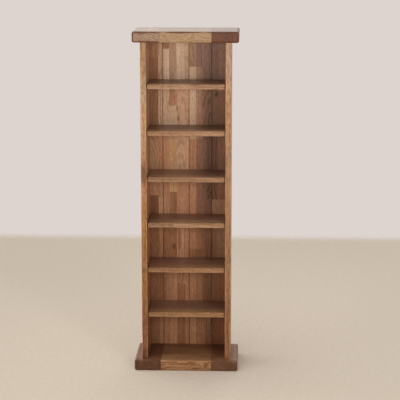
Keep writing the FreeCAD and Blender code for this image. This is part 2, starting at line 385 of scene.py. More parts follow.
# %% Oak grain layers
LOG_STRIDES = {"Across": 5.3, "Through": 3.1, "Along": 37.0}
HEART_DEPTH = 0.045
HEART_TILT = 0.08
BOLD_NEAR, BOLD_FAR, BOLD = 0.012, 0.055, 1.9

log_place = {
    axis: total(oak_grain, grain_in[axis], times(oak_grain, grain_in["Heart"], stride))
    for axis, stride in LOG_STRIDES.items()
}


def log_noise(width, length, detail):
    """Noise from 0 to 1 whose lumps are about width across and length along, in metres."""
    sizes = {"Across": width, "Through": width, "Along": length}
    scaled = [calc(oak_grain, "DIVIDE", log_place[axis], size) for axis, size in sizes.items()]
    point = add(oak_grain, "ShaderNodeCombineXYZ", dict(enumerate(scaled))).outputs[0]
    return noise(oak_grain, point, 1.0, detail)


def ring_lines():
    """Dark ring lines: a wave of the distance from the heart.

    The heart is a line behind the board, a little tilted and bent by slow
    noise. The lines fade in and out, because the rings differ in strength, and
    a stave cut close to the heart shows them bolder than one cut far from it.
    """
    bend = calc(oak_grain, "SUBTRACT", log_noise(width=0.07, length=0.22, detail=2.0), 0.5)
    bend = times(oak_grain, bend, grain_in["Waviness"])
    tilt = times(oak_grain, grain_in["Along"], HEART_TILT)
    depth = total(oak_grain, grain_in["Through"], HEART_DEPTH, tilt, bend)
    aside = calc(oak_grain, "SUBTRACT", grain_in["Across"], grain_in["Heart"])
    squares = total(oak_grain, times(oak_grain, depth, depth), times(oak_grain, aside, aside))
    radius = total(oak_grain, calc(oak_grain, "SQRT", squares), grain_in["Swirl"])
    turns = calc(oak_grain, "DIVIDE", radius, grain_in["Ring gap"])
    wave = calc(oak_grain, "SINE", times(oak_grain, turns, math.tau))
    patches = log_noise(width=0.03, length=0.30, detail=1.0)
    strength = spread(oak_grain, patches, low=0.30, high=0.65, to_low=0.15)
    bold = spread(oak_grain, calc(oak_grain, "ABSOLUTE", grain_in["Heart"]), BOLD_NEAR, BOLD_FAR, BOLD, 1.0)
    strength = times(oak_grain, strength, bold)
    return times(oak_grain, spread(oak_grain, wave, low=-0.2, high=1.0, shape="SMOOTHSTEP"), strength)


streaks = log_noise(width=0.0105, length=0.45, detail=3.0)
fibres = log_noise(width=0.0016, length=0.07, detail=2.0)
blotches = log_noise(width=0.045, length=0.20, detail=2.0)
flecks = log_noise(width=0.0045, length=0.014, detail=2.0)
pores = spread(oak_grain, log_noise(width=0.0008, length=0.018, detail=1.0), low=0.56, high=0.70)
rings = ring_lines()
print("grain nodes so far:", len(oak_grain.nodes))

# %% [markdown]
# The layers are weighed and added up to one figure, and Contrast says how
# strongly a board is marked. The figure picks a shade, and the shade multiplies
# the tone of the stave, so that one group serves pale and dark oak alike. A
# ramp from one fixed oak to another would need a ramp for every tone. The pores
# and rings are sunk a little into the surface too.

# %% Oak grain colour
FIGURE_MEAN, FIGURE_SPAN = 1.035, 0.335
FIGURE_WEIGHTS = ((streaks, 0.80), (fibres, 0.24), (blotches, 0.40), (flecks, 0.75))
DARK_SHADE, MID_SHADE, FULL_SHADE = (0.50, 0.42, 0.35, 1.0), (0.80, 0.765, 0.73, 1.0), (1.0, 1.0, 1.0, 1.0)
PORE_TONE, PORE_DARKNESS = (0.045, 0.022, 0.011, 1.0), 0.45
SMOOTHEST, FIBRE_DULLNESS, PORE_DULLNESS = 0.32, 0.18, 0.12
FIBRE_RISE, PORE_SINK, RING_SINK = 0.5, 0.8, 0.3

figure = times(oak_grain, rings, times(oak_grain, grain_in["Ring strength"], -1.0))
for layer, weight in FIGURE_WEIGHTS:
    figure = total(oak_grain, figure, times(oak_grain, layer, weight))
figure = times(oak_grain, calc(oak_grain, "SUBTRACT", figure, FIGURE_MEAN), grain_in["Contrast"])
shades = add(oak_grain, "ShaderNodeValToRGB", {0: spread(oak_grain, figure, -FIGURE_SPAN, FIGURE_SPAN)})
shades.color_ramp.elements[0].color = DARK_SHADE
shades.color_ramp.elements[1].color = FULL_SHADE
shades.color_ramp.elements.new(0.5).color = MID_SHADE
toned = blend(oak_grain, 1.0, grain_in["Tone"], shades.outputs["Color"], "MULTIPLY")
pitted = blend(oak_grain, times(oak_grain, pores, PORE_DARKNESS), toned, PORE_TONE)
oak_grain.links.new(pitted, grain_out["Colour"])

dull = total(oak_grain, times(oak_grain, fibres, FIBRE_DULLNESS), times(oak_grain, pores, PORE_DULLNESS),
             SMOOTHEST)
oak_grain.links.new(dull, grain_out["Roughness"])
sunk = total(oak_grain, times(oak_grain, pores, PORE_SINK), times(oak_grain, rings, RING_SINK))
relief = calc(oak_grain, "SUBTRACT", times(oak_grain, fibres, FIBRE_RISE), sunk)
oak_grain.links.new(relief, grain_out["Height"])
print("grain nodes:", len(oak_grain.nodes))

# %% [markdown]
# A few knots show in the sides, the back and the base. A knot is where a branch
# left the trunk: a dark core with soft edges, and rings that swell out round
# it. It could be a spot laid over the grain, but then the lines would run
# straight through. So the group gives two things, a mask for the core and a
# swell that is added to the distance from the heart.

# %% Knot group
knot_spot, knot_in, knot_out = new_group(
    "knot_spot", dict.fromkeys(("Place", "Centre", "Size"), VECTOR), {"Mask": FLOAT, "Swirl": FLOAT})
KNOT_SWELL = 0.009
KNOT_RAGGED = 0.7
KNOT_CORE, KNOT_RIM = 0.25, 1.0

away = vector(knot_spot, "SUBTRACT", knot_in["Place"], knot_in["Centre"])
away = vector(knot_spot, "DIVIDE", away, knot_in["Size"])
out = add(knot_spot, "ShaderNodeVectorMath", {0: away}, operation="LENGTH").outputs["Value"]
ragged = calc(knot_spot, "SUBTRACT", noise(knot_spot, knot_in["Place"], scale=110.0, detail=2.0), 0.5)
out = total(knot_spot, out, times(knot_spot, ragged, KNOT_RAGGED))
core = calc(knot_spot, "SUBTRACT", 1.0, spread(knot_spot, out, KNOT_CORE, KNOT_RIM, shape="SMOOTHSTEP"))
knot_spot.links.new(core, knot_out["Mask"])
fall = calc(knot_spot, "EXPONENT", times(knot_spot, times(knot_spot, out, out), -0.5))
knot_spot.links.new(times(knot_spot, fall, KNOT_SWELL), knot_out["Swirl"])
print("knot nodes:", len(knot_spot.nodes))

# %% [markdown]
# The edges have been rubbed and stained again, so they differ from the faces:
# dark along the upper edges of the top plank and in patches on the ends of the
# base, and a little paler along the sides. The dark along the lower edges of
# the top's two end blocks is painted shade. A mask of the edges could come from
# the curvature of the mesh, but that depends on how finely it is divided. On a
# board the distance to the nearest edge is simply the middle one of its three
# distances to the faces, so the mask is worked out from the board's own box.
# Reach is how far the wear goes in, Least is the share of it that is left where
# the rub is weakest, and Seed moves the uneven rub.

# %% Edge wear and painted shade group
WEAR_INPUTS = {
    **dict.fromkeys(("Place", "Centre", "Half size"), VECTOR),
    **dict.fromkeys(("Reach", "Least", "Seed"), FLOAT),
}
edge_wear_and_shade, edge_in, edge_out = new_group("edge_wear_and_shade", WEAR_INPUTS, {"Mask": FLOAT})
WEAR_MOST = 1.6
WEAR_FULL = 0.5


def over_three(operation, values):
    """One sum carried over three values."""
    return calc(edge_wear_and_shade, operation, calc(edge_wear_and_shade, operation, values[0], values[1]), values[2])


outward = vector(edge_wear_and_shade, "ABSOLUTE", vector(edge_wear_and_shade, "SUBTRACT", edge_in["Place"], edge_in["Centre"]))
depths = parts(edge_wear_and_shade, vector(edge_wear_and_shade, "SUBTRACT", edge_in["Half size"], outward))
to_edge = calc(edge_wear_and_shade, "SUBTRACT", over_three("ADD", depths), over_three("MINIMUM", depths))
to_edge = calc(edge_wear_and_shade, "SUBTRACT", to_edge, over_three("MAXIMUM", depths))
moved = vector(edge_wear_and_shade, "ADD", edge_in["Place"], edge_in["Seed"])
rub = noise(edge_wear_and_shade, moved, scale=22.0, detail=3.0)
rub = spread(edge_wear_and_shade, rub, low=0.34, high=0.66, to_low=edge_in["Least"], to_high=WEAR_MOST)
reach = times(edge_wear_and_shade, edge_in["Reach"], rub)
near = calc(edge_wear_and_shade, "SUBTRACT", 1.0, calc(edge_wear_and_shade, "DIVIDE", to_edge, reach))
edge_wear_and_shade.links.new(spread(edge_wear_and_shade, near, 0.0, WEAR_FULL, shape="SMOOTHSTEP"), edge_out["Mask"])
print("edge wear nodes:", len(edge_wear_and_shade.nodes))

# %% [markdown]
# The tones are a list of oaks, some rosy, some golden and some greyish, from
# pale to dark. They were chosen, and then shifted step by step until a render
# and the picture agreed. One oak with random changes would be shorter, but no
# stave would have its own tone. The darkest is for knots and stained edges, and
# for painted shade on some edges, and beech is for the dowels.

# %% Oak tones
TONES = {
    "cream": (233, 200, 171), "straw": (228, 192, 160), "pearl": (221, 184, 156), "chalk": (220, 183, 151),
    "almond": (221, 177, 144), "shell": (216, 174, 144), "peach": (220, 170, 135), "honey": (218, 174, 130),
    "flax": (212, 179, 139), "petal": (210, 168, 146), "melon": (212, 160, 125), "fair": (203, 161, 122),
    "ecru": (200, 164, 136), "tan": (200, 156, 120), "blush": (204, 150, 116), "amber": (204, 152, 109),
    "heather": (194, 156, 138), "musk": (196, 151, 125), "mist": (190, 153, 127), "bisque": (187, 149, 117),
    "oat": (184, 143, 110), "dove": (180, 142, 118), "wheat": (175, 142, 106), "rose": (188, 138, 106),
    "mallow": (185, 138, 111), "biscuit": (178, 138, 106), "toffee": (182, 136, 97), "copper": (192, 134, 96),
    "ochre": (175, 132, 92), "smoke": (170, 132, 110), "mauve": (174, 128, 105), "fawn": (178, 128, 95),
    "sand": (168, 129, 98), "caramel": (173, 127, 89), "barley": (168, 125, 90), "gold": (176, 126, 82),
    "ginger": (182, 124, 86), "clay": (171, 123, 92), "slate": (160, 125, 111), "plum": (160, 121, 102),
    "russet": (168, 119, 75), "chestnut": (168, 118, 84), "pewter": (152, 118, 100), "dusk": (159, 117, 94),
    "umber": (162, 110, 73), "bark": (147, 105, 77), "hazel": (150, 104, 75), "sienna": (156, 102, 68),
    # knot is also the dark of the edges; on the top's lower edges it is painted shade.
    "peat": (134, 96, 77), "walnut": (136, 92, 66), "cocoa": (141, 90, 64), "knot": (88, 50, 32),
    "beech": (222, 190, 150),
}
WOOD = {name: linear(*steps) for name, steps in TONES.items()}
print("tones of wood:", len(WOOD))

# %% [markdown]
# A board that is glued up from staves gets its tone from a list: the columns of
# staves across the board, and the places along each column. One ramp holds one
# column, and its alpha holds the place of each stave's heart. A ramp with steps
# breaks the tone and the grain at the joints, as on real glued boards. Where the
# staves run the full length, as on the sides, the ramp drifts from tone to tone
# and keeps one heart. Each stave could be a mesh of its own, but then the
# board would no longer be the frame's.

# %% Staves
MM = 0.001
HEART_SPAN = 0.40
HEART_NEAR, HEART_FAR = 25.0, 150.0
SEED_SHIFT = 200


def far_heart(start, joint):
    """A heart off to one side, in millimetres, drawn with the stave's own place as its seed."""
    draw = np.random.default_rng([start + SEED_SHIFT, joint + SEED_SHIFT])
    return float(draw.choice([-1.0, 1.0]) * draw.uniform(HEART_NEAR, HEART_FAR))


def stave_column(tree, share, start, staves, low, high, drift):
    """One column of staves as a ramp: a stave's tone, and its heart as alpha.

    A stave is (place, tone) or (place, tone, heart), in millimetres, and its
    stop is at the share of the way from low to high. Without a heart, one is
    drawn. The place is where the stave starts, or, with drift, where its tone
    is full.
    """
    node = add(tree, "ShaderNodeValToRGB", {0: share})
    ramp = node.color_ramp
    ramp.interpolation = "LINEAR" if drift else "CONSTANT"
    ramp.elements.remove(ramp.elements[1])
    for step, (joint, tone, *heart) in enumerate(staves):
        way = max(0.0, (joint - low) / (high - low))
        stop = ramp.elements[0] if step == 0 else ramp.elements.new(way)
        stop.position = way
        middle = heart[0] if heart else far_heart(start, staves[0][0] if drift else joint)
        stop.color = (*WOOD[tone][:3], 0.5 + middle * MM / HEART_SPAN)
    return node.outputs["Color"], node.outputs["Alpha"]


def stave_tones(tree, across, along, columns, low, high, drift):
    """The tone and heart of a board glued from staves.

    Columns lists where each column starts across the board, and its staves.
    Low and high are the board's two ends along its fibres. Past the start of a
    column, its tone and heart take over from those of the one before.
    """
    share = spread(tree, along, low * MM, high * MM)
    tone, heart = stave_column(tree, share, *columns[0], low, high, drift)
    for start, staves in columns[1:]:
        next_tone, next_heart = stave_column(tree, share, start, staves, low, high, drift)
        past = calc(tree, "GREATER_THAN", across, start * MM)
        tone = blend(tree, past, tone, next_tone)
        heart = add(tree, "ShaderNodeMix", {0: past, 2: heart, 3: next_heart}, data_type="FLOAT").outputs[0]
    return tone, times(tree, calc(tree, "SUBTRACT", heart, 0.5), HEART_SPAN)


print("a heart drawn for a stave at 0, 0, in mm:", round(far_heart(0, 0), 1))

# %% [markdown]
# Stain doesn't lie evenly. It soaks into the ends of the fibres and gathers in
# the joints of the back. The upper face of the base is darker between the
# sides, which is painted shade, and paler on its ends outside them, which is
# painted light. This could be painted on a picture wrapped round the board, but
# a soft mask of the place needs no wrapping, and the stains and the painted
# light and shade are simply multiplied into the colour.

# %% Stains, and painted shade and light on the base
END_SOAK, END_STAIN = 0.003, (0.64, 0.62, 0.61, 1.0)
TOP_SKIN, TOP_DEPTH = 0.001, 0.004
BASE_PAINTED_SHADE_AND_LIGHT = (
    # across from and to, back from and to, factor: painted shade inside the bay, painted light outside the
    # sides
    ((0.132, 0.112), (-0.092, -0.045), (0.76, 0.74, 0.74, 1.0)),
    ((0.138, 0.148), (-0.095, -0.035), (1.50, 1.49, 1.24, 1.0)),
)
JOINT_WIDTH, JOINT_CORE, JOINT_STAIN = 0.0028, 0.3, (0.34, 0.27, 0.22, 1.0)


def end_stain(tree, colour, along, half):
    """Darkens the ends of the fibres, at half the board's length either way."""
    soaked = spread(tree, calc(tree, "ABSOLUTE", along), half - END_SOAK, half, shape="SMOOTHSTEP")
    return blend(tree, soaked, colour, END_STAIN, "MULTIPLY")


def base_stain(tree, colour, spot, top):
    """Paints shade and light on patches of an upper face: a product of ramps across, back and up to the top.
    """
    level = spread(tree, spot["Z"], top - TOP_DEPTH, top - TOP_SKIN)
    # Painted shade darkens the top inside the bay, and painted light lightens the overhanging ends outside
    # the sides.
    for across, back, painted_factor in BASE_PAINTED_SHADE_AND_LIGHT:
        patch = spread(tree, calc(tree, "ABSOLUTE", spot["X"]), *across, shape="SMOOTHSTEP")
        patch = times(tree, patch, spread(tree, spot["Y"], *back, shape="SMOOTHSTEP"))
        colour = blend(tree, times(tree, patch, level), colour, painted_factor, "MULTIPLY")
    return colour


def joint_stain(tree, colour, spot, joints):
    """Darkens upright joints, each (x in millimetres, depth), by the distance from them."""
    for joint, depth in joints:
        aside = calc(tree, "ABSOLUTE", calc(tree, "SUBTRACT", spot["X"], joint * MM))
        sunk = spread(tree, aside, JOINT_WIDTH, JOINT_CORE * JOINT_WIDTH, 0.0, depth)
        colour = blend(tree, sunk, colour, JOINT_STAIN, "MULTIPLY")
    return colour


# The base's patches are painted shade and painted light.
print("stained patches on the base:", len(BASE_PAINTED_SHADE_AND_LIGHT))

# %% [markdown]
# All the oak has the same satin lacquer, so one function builds the finish, and
# each piece says which way its fibres run, what tone it has and how it is worn.
# The wood shines a little by itself, and a clear coat carries the sharper
# reflections. Where an edge has been rubbed, the coat is thinner. A material
# could be wired by hand for every piece, but then a change of lacquer would
# have to be made twenty times over.

# %% Oak finish
FINE_RINGS = (0.0028, 0.20)
GRAIN_BUMP = {"strength": 0.35, "distance": 0.0004}
WEAR_AND_SHADE_SHARE, RUBBED_COAT = 0.85, 0.35


def oak_finish(name, node, fibres, tone=None, heart=0.0, columns=None, drift=False, knots=(), edges=None,
               joints=(), painted_base_shade_and_light=False, rings=FINE_RINGS, waviness=0.02, contrast=1.5, sheen=0.3,
               gloss=(0.25, 0.30)):
    """Satin lacquered oak.

    Fibres names the axis along them and the axis across them. The tone is one
    oak with its heart, or comes from columns of staves, which may drift. Knots
    are (centre, size, darkness). Edges are (box, oak, reach, least, seed), for
    edges worn to another oak; on the top's lower edges that darkening is painted
    shade. Joints are (x, depth). With the base's flag, the top face gets painted
    shade inside the bay and painted light on the overhanging ends. Rings are
    (gap, strength). Sheen is how much the wood itself shines, and gloss is the
    lacquer's weight and roughness.
    """
    material, tree, shader = new_material(name)
    place = own_place(tree)
    low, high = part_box(node)
    spot, inner = parts(tree, place), parts(tree, vector(tree, "SUBTRACT", place, (low + high) / 2))
    along, across = fibres
    through = ({"X", "Y", "Z"} - set(fibres)).pop()
    start, end = low["XYZ".index(along)], high["XYZ".index(along)]
    shade, heart = WOOD.get(tone), heart * MM
    if columns:
        shade, heart = stave_tones(tree, spot[across], spot[along], columns, start / MM, end / MM, drift)
    marks = [placed(tree, knot_spot, {"Place": place, "Centre": knot[0], "Size": knot[1]}) for knot in knots]
    grain = placed(tree, oak_grain, {
        "Tone": shade, "Along": inner[along], "Across": inner[across], "Through": inner[through],
        "Heart": heart, "Ring gap": rings[0], "Ring strength": rings[1], "Waviness": waviness,
        "Swirl": total(tree, *[mark["Swirl"] for mark in marks]) if marks else 0.0, "Contrast": contrast})
    shader.inputs["Specular IOR Level"].default_value = sheen
    shader.inputs["Coat Weight"].default_value, shader.inputs["Coat Roughness"].default_value = gloss

    colour = end_stain(tree, grain["Colour"], inner[along], (end - start) / 2)
    # Painted shade inside the base's bay, and painted light on its overhanging ends.
    if painted_base_shade_and_light:
        colour = base_stain(tree, colour, spot, high.z)
    colour = joint_stain(tree, colour, spot, joints)
    for mark, knot in zip(marks, knots):
        colour = blend(tree, times(tree, mark["Mask"], knot[2]), colour, WOOD["knot"])
    if edges:
        (box_low, box_high), edge, reach, least, seed = edges
        worn = placed(tree, edge_wear_and_shade, {
            "Place": place, "Centre": (box_low + box_high) / 2, "Half size": (box_high - box_low) / 2,
            "Reach": reach, "Least": least, "Seed": seed})["Mask"]
        # On the lower edges of the top's end blocks, this darkening is painted shade.
        colour = blend(tree, times(tree, worn, WEAR_AND_SHADE_SHARE), colour, WOOD[edge])
        coat = spread(tree, worn, 0.0, 1.0, gloss[0], gloss[0] * RUBBED_COAT)
        tree.links.new(coat, shader.inputs["Coat Weight"])
    tree.links.new(colour, shader.inputs["Base Color"])
    tree.links.new(grain["Roughness"], shader.inputs["Roughness"])
    bumped(tree, shader, grain["Height"], **GRAIN_BUMP)
    return material


def knot_at(x, y, z, size, darkness):
    """A knot from millimetres: its centre, its size along X, Y and Z, and how dark it is."""
    return np.array([x, y, z]) * MM, np.array(size) * MM, darkness


def dress(piece, material):
    """Gives a whole piece one material."""
    piece.data.materials.clear()
    piece.data.materials.append(material)


# %% [markdown]
# Each plank is three blocks of oak glued edge to edge. Its long edges were
# rounded by hand, so the round wanders between about four and nine
# millimetres, and its two ends are rounded over as well. A bevelled box would
# have one even radius. Here a rounded rectangle is carried along the plank,
# and each of its four radii is a slow wave of the place along the plank, the
# same wave for all three blocks, so that the edges run on across the seams.
# The plank's back edge has a rebate for the back boards, and the ends of the
# rebate are two stations at one place, one with the corner and one without.

# %% Edges and corners
CORNER_STEPS = 9
FACE_STEPS = 7
LEAST_RADIUS = 0.25
BACK_LOW, BACK_HIGH = 1, 2


def corner_arc(y, z, radius, start):
    """A quarter circle at each station: its centre, radius and first angle."""
    angle = start + np.linspace(0.0, math.pi / 2, CORNER_STEPS)
    circle = np.stack([np.cos(angle), np.sin(angle)], axis=-1)
    return np.stack([y, z], axis=-1)[:, None] + radius[:, None, None] * circle


def run_between(first, last, steps):
    """Points strictly between two points at each station, evenly spaced."""
    share = np.linspace(0.0, 1.0, steps + 2)[1:-1]
    return first[:, None] + (last - first)[:, None] * share[:, None]


def rebated_corner(arc, first, last, inner, cut):
    """A back corner, with a rebate at the stations where cut is true.

    Elsewhere it runs straight from first, round the arc and on to last. In
    the rebate it runs from first to the inner corner, then to last, through
    as many points, so that both kinds of station belong to one grid.
    """
    steps = CORNER_STEPS // 2 + 2
    plain = [first[:, None], run_between(first, arc[:, 0], 2), arc,
             run_between(arc[:, -1], last, 2), last[:, None]]
    notch = [first[:, None], run_between(first, inner, steps), inner[:, None],
             run_between(inner, last, steps), last[:, None]]
    plain, notch = np.concatenate(plain, axis=1), np.concatenate(notch, axis=1)
    return np.where(cut[:, None, None], notch, plain)


def rounded_outline(y0, y1, z0, z1, radii, rebate=None):
    """A rounded rectangle in YZ at every station.

    Four quarter circles joined by straight runs, in the order front low, back
    low, back high, front high. A rebate is (which back corner, y, z, cut).
    """
    r = [np.maximum(radius, LEAST_RADIUS) for radius in radii]
    arcs = [
        corner_arc(y0 + r[0], z0 + r[0], r[0], math.pi),
        corner_arc(y1 - r[1], z0 + r[1], r[1], 1.5 * math.pi),
        corner_arc(y1 - r[2], z1 - r[2], r[2], 0.0),
        corner_arc(y0 + r[3], z1 - r[3], r[3], 0.5 * math.pi),
    ]
    if rebate:
        corner, y, z, cut = rebate
        y, z = np.full_like(y0, y), np.full_like(y0, z)
        on_back = np.stack([y1, z], axis=-1)
        on_face = np.stack([y, z0 if corner == BACK_LOW else z1], axis=-1)
        ends = (on_face, on_back) if corner == BACK_LOW else (on_back, on_face)
        arcs[corner] = rebated_corner(arcs[corner], *ends, np.stack([y, z], axis=-1), cut)
    path = []
    for arc, following in zip(arcs, arcs[1:] + arcs[:1]):
        path += [arc, run_between(arc[:, -1], following[:, 0], FACE_STEPS)]
    return np.concatenate(path, axis=1)


def carried_along(x, outline):
    """A grid of points in metres: an outline in millimetres at each place along X."""
    grid = np.empty((*outline.shape[:2], 3))
    grid[..., 0] = x[:, None]
    grid[..., 1:] = outline
    return grid * MM


print("points round a plain outline:", 4 * (CORNER_STEPS + FACE_STEPS))

# %% [markdown]
# Where two stations share a place, a grid has points on top of each other.
# Every new mesh is cleaned in the same way: such points are merged, the shading
# is smoothed, and only edges that turn sharply stay hard. A modifier could keep
# the hard edges, but marking them once leaves nothing to work out later. The
# volume is measured on the way: a mesh that is inside out would show a negative
# one.

# %% Clean up
MERGE_GAP = 1e-6
SHARP_ANGLE, CUTTER_SHARP_ANGLE = 38.0, 30.0
LITRES = 1000


def finish_mesh(piece, sharp_angle):
    """Merges points that coincide, smooths the shading and keeps hard edges."""
    mesh = bmesh.new()
    mesh.from_mesh(piece.data)
    bmesh.ops.remove_doubles(mesh, verts=mesh.verts, dist=MERGE_GAP)
    volume = mesh.calc_volume(signed=True)
    mesh.to_mesh(piece.data)
    mesh.free()
    piece.data.shade_smooth()
    piece.data.set_sharp_from_angle(angle=math.radians(sharp_angle))
    return volume


print("edges that stay hard turn by more than", SHARP_ANGLE, "degrees")

# %% [markdown]
# A block runs between two ends. An outer end is rounded over, so its stations
# follow a quarter circle and the outline draws in with them. An end at a seam
# has only a small bevel, which leaves a fine line between two blocks. One long
# plank cut in three would have sharp seams, and the line would be lost.

# %% Plank blocks
ROUND, WANDER = 6.5, 2.0
LONG_WAVE, SHORT_WAVE = 31.0, 12.5
END_ROUND, END_STEPS = 6.5, 8
SEAM_BEVEL = 0.45
REBATE_X, REBATE_Y, REBATE_DEEP = 134.5, 88.5, 12.0
STATION_GAP = 7.0


def worn_radius(x, corner, plank):
    """A rounded edge's radius in millimetres: a mean plus two slow waves of x."""
    phase = 1.7 * corner + 2.9 * plank
    wave = 0.65 * np.sin(x / LONG_WAVE + phase) + 0.35 * np.sin(x / SHORT_WAVE + 2.3 * phase)
    return ROUND + WANDER * wave


def block_end(x, inward, outer):
    """Stations at a block's end, from the tip inwards, as (x, inset).

    An outer end follows a quarter circle; a seam has only a small bevel.
    """
    if outer:
        turn = np.linspace(math.pi / 2, 0.0, END_STEPS)
        return x + inward * END_ROUND * (1 - np.sin(turn)), END_ROUND * (1 - np.cos(turn))
    return x + inward * np.array([0.0, SEAM_BEVEL]), np.array([SEAM_BEVEL, 0.0])


def block_stations(x0, x1):
    """Places along a block, their insets, and whether the rebate is cut there."""
    left, left_inset = block_end(x0, 1.0, x0 < -REBATE_X)
    right, right_inset = block_end(x1, -1.0, x1 > REBATE_X)
    count = max(3, round((right[-1] - left[-1]) / STATION_GAP))
    middle = np.linspace(left[-1], right[-1], count)[1:-1]
    shoulders = [side for side in (-REBATE_X, REBATE_X) if x0 < side < x1]
    middle = np.sort(np.concatenate([middle, shoulders, shoulders]))
    x = np.concatenate([left, middle, right[::-1]])
    inset = np.concatenate([left_inset, np.zeros(len(middle)), right_inset[::-1]])
    cut = np.abs(x) < REBATE_X
    for side in shoulders:
        first, second = np.flatnonzero(x == side)
        cut[second if side < 0 else first] = True
    return x, inset, cut


def plank_block(node, plank, corner):
    """One block of a plank: a worn rounded rectangle carried along X."""
    low, high = (np.array(end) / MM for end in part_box(node))
    x, inset, cut = block_stations(low[0], high[0])
    radii = [worn_radius(x, each, plank) - inset for each in range(4)]
    rebate_z = low[2] + REBATE_DEEP if corner == BACK_LOW else high[2] - REBATE_DEEP
    outline = rounded_outline(low[1] + inset, high[1] - inset, low[2] + inset, high[2] - inset,
                              radii, (corner, REBATE_Y, rebate_z, cut))
    block = grid_object("worn_" + node, carried_along(x, outline), closed=True, capped=True)
    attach(block, "carcass")
    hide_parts(node)
    return block


planks = {}
for number, (plank, corner) in enumerate((("top", BACK_LOW), ("base", BACK_HIGH))):
    for part in ("left", "middle", "right"):
        node = plank + "_" + part + "_block"
        planks[node] = plank_block(node, number, corner)
        litres = finish_mesh(planks[node], SHARP_ANGLE) * LITRES
        print(node, "faces:", len(planks[node].data.polygons), "litres:", round(litres, 3))

# %% [markdown]
# Four screws come up through the base into the sides. Their heads lie in
# countersunk holes, which a carried outline can't have, so each hole is a
# turned shape that a Boolean takes out of the block.

# %% Screw holes in the base
SCREW_ROWS = (-18.25, 42.25)
SCREW_COLUMN = 134.5
HOLE_PROFILE = np.array([[0.0, -1.0], [5.1, -1.0], [5.1, 0.4], [2.6, 2.95], [2.6, 36.0], [0.0, 36.0]])


def turned_shape(name, x, y, profile, steps=40):
    """A profile of (radius, height) turned round an upright axis, in millimetres."""
    angle = np.linspace(0.0, math.tau, steps, endpoint=False)
    radius, height = profile[:, :1], profile[:, 1:]
    grid = np.empty((len(profile), steps, 3))
    grid[..., 0] = x + radius * np.cos(angle)
    grid[..., 1] = y + radius * np.sin(angle)
    grid[..., 2] = height
    return grid_object(name, grid * MM, closed=True)


def bore(piece, cutter):
    """Takes one turned shape out of a piece."""
    finish_mesh(cutter, CUTTER_SHARP_ANGLE)
    change = piece.modifiers.new("hole", "BOOLEAN")
    change.operation, change.solver, change.object = "DIFFERENCE", "EXACT", cutter
    shaped = piece.evaluated_get(bpy.context.evaluated_depsgraph_get())
    piece.data = bpy.data.meshes.new_from_object(shaped)
    piece.modifiers.clear()
    bpy.data.objects.remove(cutter)


for side, node in ((-1, "base_left_block"), (1, "base_right_block")):
    for row in SCREW_ROWS:
        bore(planks[node], turned_shape("hole", side * SCREW_COLUMN, row, HOLE_PROFILE))
    print(node, "with holes, faces:", len(planks[node].data.polygons))

# %% [markdown]
# The two end blocks of each plank have their fibres running front to back, so
# their front faces show end grain, and three of them are of much darker oak.
# The middle blocks are long-grained and wavy, and the one at the top has pale
# rings. The top has dark upper edges all along, and it is the glossiest piece.
# Its two end blocks are dark along their lower edges too, which is painted
# shade. The base has dark patches on the upper edges of its end blocks, painted
# shade inside its bay and painted light on its ends outside the sides. Each
# block could have its own edges, but a line would show at the seams, so they
# belong to the whole plank. Where the lower edges are plain, the plank's box
# reaches below it.

# %% Plank finishes
BELOW = 0.06
BOLD_GRAIN, PLAIN_GRAIN = 2.0, 1.2
PLANK_OAK = {
    # fibres, tone, heart in mm, tone and reach of the edges, rings, contrast
    "top_left_block": ("YX", "pearl", 15.0, "knot", 0.0062, (0.0080, 0.27), PLAIN_GRAIN),
    "top_middle_block": ("XZ", "wheat", 4.0, "knot", 0.0050, (0.0045, -0.34), PLAIN_GRAIN),
    "top_right_block": ("YX", "cocoa", -60.0, "knot", 0.0074, FINE_RINGS, BOLD_GRAIN),
    "base_left_block": ("YX", "walnut", 20.0, "knot", 0.0034, FINE_RINGS, BOLD_GRAIN),
    "base_middle_block": ("XZ", "toffee", -3.0, "toffee", 0.0030, FINE_RINGS, BOLD_GRAIN),
    "base_right_block": ("YX", "bark", -25.0, "knot", 0.0034, FINE_RINGS, BOLD_GRAIN),
}
SHADE_PAINTED_BELOW = ("top_left_block", "top_right_block")
PLANK_WAVINESS = {"top_middle_block": 0.08}
PLANK_KNOTS = {"base_middle_block": [knot_at(30.0, -97.5, 7.0, (19.0, 10.0, 8.0), 0.5)]}
PLANK_GLOSS = {"top": (0.93, 0.18), "base": (0.3, 0.3)}
# least and seed of the worn edges, and of the painted shade on the top's lower edges
PLANK_EDGE_NOISE = {"top": (0.7, 2.9), "base": (0.45, 0.5)}


def plank_box(plank, above_only):
    """A whole plank's box, lower than it is where only its upper edges are worn; else the lower edges get
    painted shade.
    """
    low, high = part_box(plank + "_left_block")[0].copy(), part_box(plank + "_right_block")[1]
    if above_only:
        low.z -= BELOW
    return low, high


def plank_finish(node, fibres, tone, heart, edge, reach, rings, contrast):
    """The finish of one block, with the gloss and the worn edges of its plank, and painted shade on the top's
    lower edges.
    """
    plank = node.split("_")[0]
    worn = (plank_box(plank, node not in SHADE_PAINTED_BELOW), edge, reach, *PLANK_EDGE_NOISE[plank])
    return oak_finish("oak_" + node, node, fibres, tone, heart, knots=PLANK_KNOTS.get(node, ()), edges=worn,
                      painted_base_shade_and_light=plank == "base", rings=rings, waviness=PLANK_WAVINESS.get(node, 0.035),
                      contrast=contrast, sheen=0.2, gloss=PLANK_GLOSS[plank])


for node, oak in PLANK_OAK.items():
    dress(planks[node], plank_finish(node, *oak))
    print(node, "in", oak[1], "oak")

# %% [markdown]
# A shelf is a plain board, but its front edge was sanded by hand: the two long
# rounds at the front are a little uneven and the front isn't quite straight.
# It is made as the planks are, with smaller rounds and no rebate.

